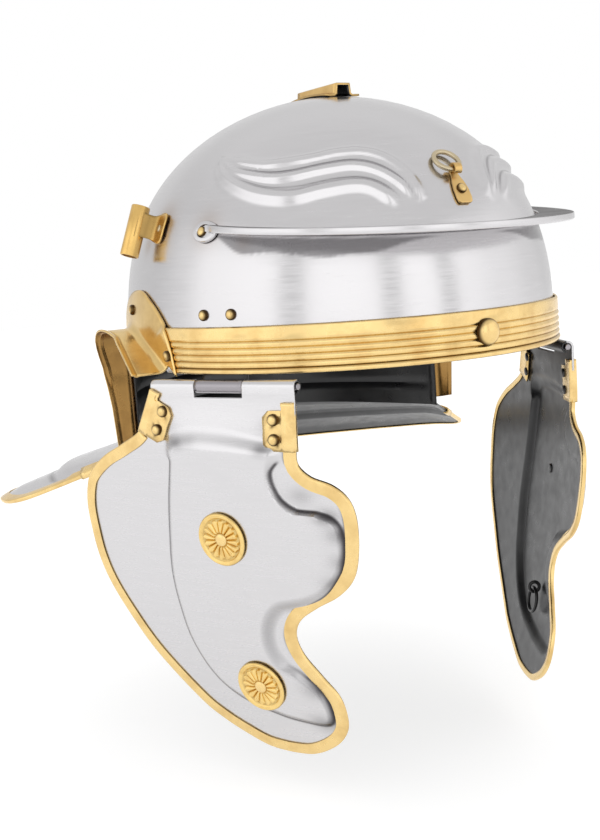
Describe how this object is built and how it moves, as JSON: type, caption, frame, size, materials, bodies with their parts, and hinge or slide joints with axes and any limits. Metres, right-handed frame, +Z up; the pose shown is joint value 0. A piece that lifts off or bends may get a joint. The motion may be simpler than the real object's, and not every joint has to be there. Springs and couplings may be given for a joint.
{
  "type": "legionary helmet",
  "caption": "Iron soldier's helmet with brass trim: bowl with neck guard, brow peak, ear guards, crest fittings and hinged cheek plates.",
  "frame": {"origin": "centre of the head opening, level with the rim under the brow band", "axes": "+Z up; the face looks along -Y; the wearer's right ear is on -X"},
  "size_m": [0.3058, 0.2961, 0.3049],
  "materials": {
    "steel": "satin brushed, black paint on inner faces",
    "brass": "polished, dark in the grooves",
    "dark_steel": "satin black"
  },
  "bodies": {
    "helmet": {"skull": "steel", "brow_band": "brass", "brow_stud": "brass", "brow_peak": "steel", "neck_edging": "brass", "crest_box": "brass", "crest_hook": "brass", "crest_hook_rivet": "brass", "crest_ring": "brass", "peak_rivet_right": "brass", "ear_guard_right": "brass", "ear_rivet_right_front": "brass", "ear_rivet_right_top": "brass", "neck_clip_right": "brass", "plume_tube_right": "brass", "plume_rivet_right": "brass", "hinge_rivet_right_front": "brass", "hinge_rivet_right_rear": "brass", "hinge_leaf_right": "steel", "hinge_pin_right": "steel", "peak_rivet_left": "brass", "ear_guard_left": "brass", "ear_rivet_left_front": "brass", "ear_rivet_left_top": "brass", "neck_clip_left": "brass", "plume_tube_left": "brass", "plume_rivet_left": "brass", "hinge_rivet_left_front": "brass", "hinge_rivet_left_rear": "brass", "hinge_leaf_left": "steel", "hinge_pin_left": "steel"},
    "cheek_right": {"cheek_plate_right": "steel", "cheek_edging_right": "brass", "cheek_clip_right_front": "brass", "cheek_clip_right_rear": "brass", "cheek_clip_right_front_rivet_top": "brass", "cheek_clip_right_front_rivet_bottom": "brass", "cheek_clip_right_rear_rivet_top": "brass", "cheek_clip_right_rear_rivet_bottom": "brass", "rosette_right_upper": "brass", "rosette_right_lower": "brass", "tie_eye_right": "dark_steel", "tie_ring_right": "dark_steel"},
    "cheek_left": {"cheek_plate_left": "steel", "cheek_edging_left": "brass", "cheek_clip_left_front": "brass", "cheek_clip_left_rear": "brass", "cheek_clip_left_front_rivet_top": "brass", "cheek_clip_left_front_rivet_bottom": "brass", "cheek_clip_left_rear_rivet_top": "brass", "cheek_clip_left_rear_rivet_bottom": "brass", "rosette_left_upper": "brass", "rosette_left_lower": "brass", "tie_eye_left": "dark_steel", "tie_ring_left": "dark_steel"}
  },
  "joints": [
    {"name": "right_cheek_hinge", "type": "hinge", "parent": "helmet", "child": "cheek_right", "pos_m": [-0.0762, -0.083, -0.005], "axis": [-0.4289, 0.9033, 0], "range_deg": [-12, 60]},
    {"name": "left_cheek_hinge", "type": "hinge", "parent": "helmet", "child": "cheek_left", "pos_m": [0.0762, -0.083, -0.005], "axis": [-0.4289, -0.9033, 0], "range_deg": [-12, 60]}
  ]
}
